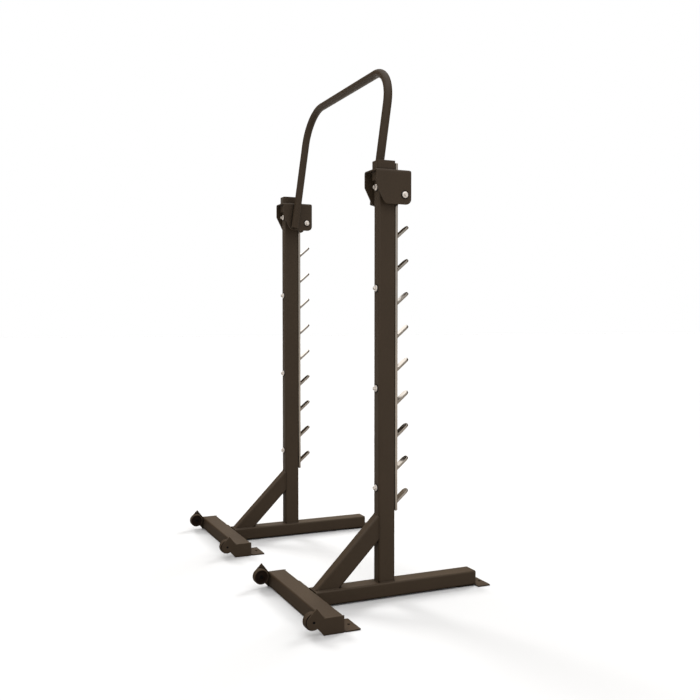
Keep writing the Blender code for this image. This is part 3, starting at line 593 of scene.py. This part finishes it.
def raise_hexagon(bm, height, top):
    """A chamfered and dished hexagonal head on the ring that a turned flange leaves open."""
    mouth = [e for e in bm.edges if e.is_boundary]
    bmesh.ops.create_circle(bm, cap_ends=False, radius=HEX_RADIUS, segments=6,
                            matrix=Matrix.Translation((0, 0, height)))
    bmesh.ops.subdivide_edges(bm, edges=[e for e in bm.edges if not e.link_faces],
                              cuts=TURNED_SIDES // 6 - 1)
    ring = [e for e in bm.edges if not e.link_faces]
    bmesh.ops.bridge_loops(bm, edges=mouth + ring)
    ring = extrude_ring(bm, ring, (0, 0, top - HEX_CHAMFER - height))
    flat = HEX_RADIUS * cos(pi / 6)
    for radius, step in ((flat, HEX_CHAMFER), (flat - HEX_CHAMFER, 0), (flat - 2 * HEX_CHAMFER, -HEX_DISH)):
        ring = extrude_ring(bm, ring, (0, 0, step))
        for vert in {v for e in ring for v in e.verts}:
            vert.co.xy = vert.co.xy.normalized() * radius
    bmesh.ops.edgeloop_fill(bm, edges=ring)


def make_bolt(node, seat, outward, shank, threaded=0.0):
    """A hexagonal bolt with a domed flange, and its black washer. Outward is the head's side."""
    rim = WASHER_PLATE + FLANGE_RIM
    dome = WASHER_PLATE + FLANGE_HEIGHT
    crown = [(FLANGE_RADIUS * cos(radians(a)), rim + (dome - rim) * sin(radians(a))) for a in FLANGE_DOME]
    threads = int(threaded / THREAD_PITCH)
    profile = [(0, -shank), (SHANK_RADIUS - THREAD_DEPTH, -shank)]
    for i in range(threads):
        crest = -shank + (i + 0.5) * THREAD_PITCH
        profile += [(SHANK_RADIUS, crest), (SHANK_RADIUS - THREAD_DEPTH, crest + THREAD_PITCH / 2)]
    profile += [(SHANK_RADIUS, -shank + (threads + 1) * THREAD_PITCH), (SHANK_RADIUS, WASHER_PLATE),
                (FLANGE_RADIUS - EASED / 2, WASHER_PLATE), (FLANGE_RADIUS, WASHER_PLATE + EASED / 2)]
    bolt = bmesh.new()
    turn_profile(bolt, profile + crown, TURNED_SIDES)
    raise_hexagon(bolt, dome, dome + HEX_HEIGHT)
    bmesh.ops.recalc_face_normals(bolt, faces=bolt.faces)
    place = aim(seat, outward)
    bolt.transform(place)
    make_piece(node + "_flange_bolt", bolt, "bolt_steel", stands_for=[node])
    bore = SHANK_RADIUS + WASHER_ROOM
    washer = [(bore, 0), (WASHER_RADIUS, 0), (WASHER_RADIUS, WASHER_PLATE), (bore, WASHER_PLATE), (bore, 0)]
    turned_piece(node + "_washer", washer, TURNED_SIDES, WASHER_EASED, place, "dark_steel")


def make_bolts(side):
    """The rail bolts and the cross bolt of one stand."""
    proud = WASHER_PLATE + FLANGE_HEIGHT + HEX_HEIGHT
    for i in range(1, RAIL_BOLTS + 1):
        node = side + "_rail_bolt_" + str(i)
        low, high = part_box(node)
        seat = Vector((middle(side + "_upright").x, high.y - proud, middle(node).z))
        make_bolt(node, seat, (0, 1, 0), seat.y - low.y)
    node = side + "_cross_bolt"
    low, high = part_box(node)
    seat = Vector((low.x + proud, *middle(node).yz))
    make_bolt(node, seat, (-1, 0, 0), high.x - seat.x, THREADED)


def make_wheel(node):
    """A wheel in two pieces: a black disc with its hub, and a tyre with round shoulders and grooves.

    Both are turned about Z from the tyre's face towards the end plate, at height 0, and then laid on X.
    """
    low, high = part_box(node)
    plate_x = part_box(node.replace("_wheel", "_end_plate"))[0].x
    plate_side = 1 if plate_x > high.x - HUB_BOSS else -1
    radius = (high.z - low.z) / 2
    inside = radius - TREAD
    width = high.x - low.x - HUB_BOSS
    hollow = HUB_RADIUS + 2 * FACE_RECESS
    disc = [(BORE_RADIUS, HUB_BOSS), (HUB_RADIUS, HUB_BOSS), (HUB_RADIUS, -FACE_RECESS),
            (hollow, -FACE_RECESS), (RECESS_OUTER - FACE_RECESS, -FACE_RECESS), (RECESS_OUTER, 0),
            (inside, 0), (inside, -width), (RECESS_OUTER, -width),
            (RECESS_OUTER - FACE_RECESS, FACE_RECESS - width), (hollow, FACE_RECESS - width),
            (HUB_RADIUS, -width), (COUNTERBORE_RADIUS, -width),
            (COUNTERBORE_RADIUS, COUNTERBORE_DEPTH - width), (BORE_RADIUS, COUNTERBORE_DEPTH - width),
            (BORE_RADIUS, HUB_BOSS)]
    shoulder = [(radius - TYRE_ROUND * (1 - sin(radians(a))), TYRE_ROUND * (1 - cos(radians(a))))
                for a in TYRE_SHOULDER]
    tyre = [(inside, 0)] + [(r, -drop) for r, drop in shoulder]
    for groove in (width / 3, 2 * width / 3):
        tyre += [(radius, TREAD_GROOVE - groove), (radius - TREAD_GROOVE, TREAD_GROOVE / 2 - groove),
                 (radius - TREAD_GROOVE, -TREAD_GROOVE / 2 - groove), (radius, -TREAD_GROOVE - groove)]
    tyre += [(r, drop - width) for r, drop in reversed(shoulder)] + [(inside, -width), (inside, 0)]
    tyre_face = (high.x if plate_side > 0 else low.x) - plate_side * HUB_BOSS
    place = (Matrix.Translation((tyre_face, *middle(node).yz))
             @ Matrix.Rotation(plate_side * pi / 2, 4, "Y"))
    for kind, profile, finish in (("disc", disc, "wheel_disc"), ("tyre", tyre, "wheel_rubber")):
        turned_piece(node + "_" + kind, profile, WHEEL_SIDES, WHEEL_EASED, place, finish, body=node,
                     stands_for=[node])


def weld_frame(bm, side):
    """Beads between the tubes of one stand."""
    up_low, up_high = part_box(side + "_upright")
    base_low, base_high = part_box(side + "_base_tube")
    brace_low, brace_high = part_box(side + "_brace")
    foot_low, foot_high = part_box(side + "_cross_foot")
    seam = base_high.z
    keep = CORNER_KEEP
    depth = up_high.y - up_low.y
    slope = atan2(brace_high.z - brace_low.z, brace_high.y - brace_low.y)
    brace_under = brace_high.z - depth / cos(slope)
    brace_heel = brace_high.y - depth / sin(slope)
    for x in (up_low.x, up_high.x):
        bead(bm, (x, up_low.y + keep, seam), (x, up_high.y - keep, seam))
        bead(bm, (x, up_high.y, brace_under + keep), (x, up_high.y, brace_high.z - keep))
        bead(bm, (x, brace_heel + keep, seam), (x, brace_high.y - keep, seam))
    for y, z in ((up_low.y, seam), (up_high.y, seam), (up_high.y, brace_under), (up_high.y, brace_high.z),
                 (brace_heel, seam), (brace_high.y, seam)):
        bead(bm, (up_low.x + keep, y, z), (up_high.x - keep, y, z))
    for x in (base_low.x, base_high.x):
        bead(bm, (x, foot_low.y, base_low.z + keep), (x, foot_low.y, foot_high.z - keep), FINE_BEAD)


def weld_head(bm, side, inward):
    """Beads round the collar and along the arch's leg. Inward is +1 or -1, the arch's side."""
    up_low, up_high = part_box(side + "_upright")
    collar_low, collar_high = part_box(side + "_collar")
    bracket_low, bracket_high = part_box(side + "_saddle_bracket")
    keep = 2 * CORNER_KEEP
    for x in (up_low.x, up_high.x):
        bead(bm, (x, collar_low.y, collar_low.z), (x, up_high.y - CORNER_KEEP, collar_low.z), FINE_BEAD)
    bead(bm, (up_low.x + CORNER_KEEP, up_high.y, collar_low.z),
         (up_high.x - CORNER_KEEP, up_high.y, collar_low.z), FINE_BEAD)
    web = bracket_high.z
    for x in (collar_low.x, collar_high.x):
        bead(bm, (x, collar_low.y, web), (x, collar_high.y - keep, web), FINE_BEAD)
    bead(bm, (collar_low.x + keep, collar_high.y, web), (collar_high.x - keep, collar_high.y, web),
         FINE_BEAD)
    x = (bracket_high.x if inward > 0 else bracket_low.x) + inward * BEAD * LEG_BEAD_PROUD
    foot = bracket_low.z + ARCH_FOOT
    leant = (web - foot) * tan(ARCH_LEAN)
    for across in (-1, 1):
        y = middle(side + "_upright").y + ARCH_FOOT_Y + across * ARCH_RADIUS * LEG_BEAD_APART
        bead(bm, (x, y, foot + keep), (x, y - leant, web - keep))


def weld_anchors(bm, side):
    """Fine beads where the floor anchors meet the cross foot."""
    foot_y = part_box(side + "_cross_foot")[0].y
    keep = 2 * CORNER_KEEP
    for place in ("outer", "inner"):
        low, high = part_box(side + "_" + place + "_anchor")
        bead(bm, (low.x + keep, foot_y, high.z), (high.x - keep, foot_y, high.z), FINE_BEAD)


def make_stand(side, inward):
    """One stand. Inward is +1 or -1, the side of the other stand."""
    for node in STEEL_NODES:
        make_eased(side + "_" + node)
    for node in PLASTIC_NODES:
        make_eased(side + "_" + node, PLASTIC_EASED)
    make_rail(side)
    make_bolts(side)
    for place in ("outer", "inner"):
        make_wheel(side + "_" + place + "_wheel")
    welds = bmesh.new()
    weld_frame(welds, side)
    weld_head(welds, side, inward)
    weld_anchors(welds, side)
    make_piece(side + "_weld_beads", welds, "powder_coat")


def make_floor():
    """A plain pale floor that keeps the stands' soft shadows."""
    bm = bmesh.new()
    bmesh.ops.create_grid(bm, x_segments=1, y_segments=1, size=FLOOR_REACH)
    mesh = bpy.data.meshes.new("studio_floor")
    bm.to_mesh(mesh)
    bm.free()
    floor = bpy.data.objects.new("studio_floor", mesh)
    bpy.context.scene.collection.objects.link(floor)
    finish, tree, shader, place = new_finish("white_studio_floor")
    ray = add(tree, "ShaderNodeLightPath")
    away = add(tree, "ShaderNodeVectorMath", {0: place}, operation="LENGTH")
    far = add(tree, "ShaderNodeMapRange", {"Value": away.outputs["Value"], "From Min": NEAR_FLOOR,
                                           "From Max": FAR_FLOOR})
    mirrored = add(tree, "ShaderNodeMix", {0: far.outputs["Result"], 6: linear(NEAR_MIRRORED),
                                           7: linear(FAR_MIRRORED)}, data_type="RGBA")
    lit = add(tree, "ShaderNodeMix", {0: ray.outputs["Is Glossy Ray"], 6: linear(FLOOR_LIT),
                                      7: mirrored.outputs[2]}, data_type="RGBA")
    tone = add(tree, "ShaderNodeMix", {0: ray.outputs["Is Camera Ray"], 6: lit.outputs[2],
                                       7: linear(FLOOR_SHOWN)}, data_type="RGBA")
    tree.links.new(tone.outputs[2], shader.inputs["Base Color"])
    shader.inputs["Roughness"].default_value = 1.0
    shader.inputs["Specular IOR Level"].default_value = 0.0
    mesh.materials.append(finish)


def add_lamp(name, kind, place, facing, **settings):
    """A lamp that the camera can't see, at a place and facing a direction."""
    lamp = bpy.data.lights.new(name, kind)
    for setting, value in settings.items():
        setattr(lamp, setting, value)
    holder = bpy.data.objects.new(name, lamp)
    holder.visible_camera = False
    holder.location = place
    holder.rotation_euler = Vector(facing).to_track_quat("-Z", "Y").to_euler()
    bpy.context.scene.collection.objects.link(holder)
    return holder


def add_panel(name, edges, level, colour):
    """A lit upright panel behind the stands, given by its edges and by how bright it looks."""
    y0, y1, z0, z1 = edges
    width, height = y1 - y0, z1 - z0
    add_lamp(name, "AREA", (PANEL_X, (y0 + y1) / 2, (z0 + z1) / 2), PANEL_FACING, shape="RECTANGLE",
             size=width, size_y=height, color=linear(colour)[:3], energy=pi * width * height * level)


def add_far_light(name, turn, strength):
    """A far, wide light that throws soft shadows. Polished faces don't mirror it."""
    travel = (-cos(turn) * cos(FAR_LIGHT_RISE), -sin(turn) * cos(FAR_LIGHT_RISE), -sin(FAR_LIGHT_RISE))
    light = add_lamp(name, "SUN", FAR_LIGHT_PLACE, travel, energy=strength, angle=FAR_LIGHT_SPREAD)
    light.visible_glossy = False


def light_studio():
    """A soft studio: a bright ceiling, a wall behind the camera, three panels and two far lights.

    The camera itself sees plain white above the floor.
    """
    world = bpy.data.worlds.new("soft_studio")
    world.use_nodes = True
    bpy.context.scene.world = world
    tree = world.node_tree
    background = tree.nodes["Background"]
    toward = add(tree, "ShaderNodeSeparateXYZ", {0: add(tree, "ShaderNodeTexCoord").outputs["Generated"]})
    ceiling = add(tree, "ShaderNodeMapRange", {"Value": toward.outputs["Z"], "From Min": CEILING_FROM,
                                               "From Max": CEILING_FULL, "To Max": CEILING_LEVEL},
                  interpolation_type="SMOOTHSTEP")
    across = add(tree, "ShaderNodeMath", {0: toward.outputs["Y"], 1: WALL_TURN, 2: toward.outputs["X"]},
                 operation="MULTIPLY_ADD")
    behind = add(tree, "ShaderNodeMapRange", {"Value": across.outputs[0], "From Min": WALL_FROM,
                                              "From Max": WALL_FULL}, interpolation_type="SMOOTHSTEP")
    wall = add(tree, "ShaderNodeMapRange", {"Value": behind.outputs["Result"], "To Min": DARK_LEVEL,
                                            "To Max": WALL_LEVEL})
    bright = add(tree, "ShaderNodeMath", {0: ceiling.outputs["Result"], 1: behind.outputs["Result"]},
                 operation="ADD")
    tint = add(tree, "ShaderNodeMix", {0: bright.outputs[0], 6: linear(DARK_TINT), 7: linear(WHITE)},
               data_type="RGBA")
    level = add(tree, "ShaderNodeMath", {0: ceiling.outputs["Result"], 1: wall.outputs["Result"]},
                operation="ADD")
    seen = add(tree, "ShaderNodeLightPath").outputs["Is Camera Ray"]
    strength = add(tree, "ShaderNodeMix", {0: seen, 2: level.outputs[0], 3: 1.0}, data_type="FLOAT")
    shown = add(tree, "ShaderNodeMix", {0: seen, 6: tint.outputs[2], 7: linear(WHITE)}, data_type="RGBA")
    tree.links.new(shown.outputs[2], background.inputs["Color"])
    tree.links.new(strength.outputs[0], background.inputs["Strength"])
    add_panel("high_panel", HIGH_PANEL, HIGH_PANEL_LEVEL, WHITE)
    add_panel("low_panel", LOW_PANEL, LOW_PANEL_LEVEL, WARM)
    add_panel("dim_panel", DIM_PANEL, DIM_PANEL_LEVEL, WARM)
    add_far_light("key_light", KEY_TURN, KEY_STRENGTH)
    add_far_light("back_light", BACK_TURN, BACK_STRENGTH)


def place_camera():
    """The camera at the photograph's viewpoint."""
    lens = bpy.data.cameras.new("photo_camera")
    lens.sensor_width = SENSOR
    lens.lens = FOCAL_PIXELS * SENSOR / IMAGE_WIDTH
    lens.clip_end = CAMERA_REACH
    camera = bpy.data.objects.new("photo_camera", lens)
    bpy.context.scene.collection.objects.link(camera)
    camera.location = CAMERA_PLACE
    camera.rotation_euler = (pi / 2 - CAMERA_DOWN, 0, -pi / 2 - CAMERA_YAW)
    bpy.context.scene.camera = camera


make_stand("left", 1)
make_stand("right", -1)
make_arch()
make_floor()
light_studio()
place_camera()
bpy.context.scene.view_settings.view_transform = "Standard"
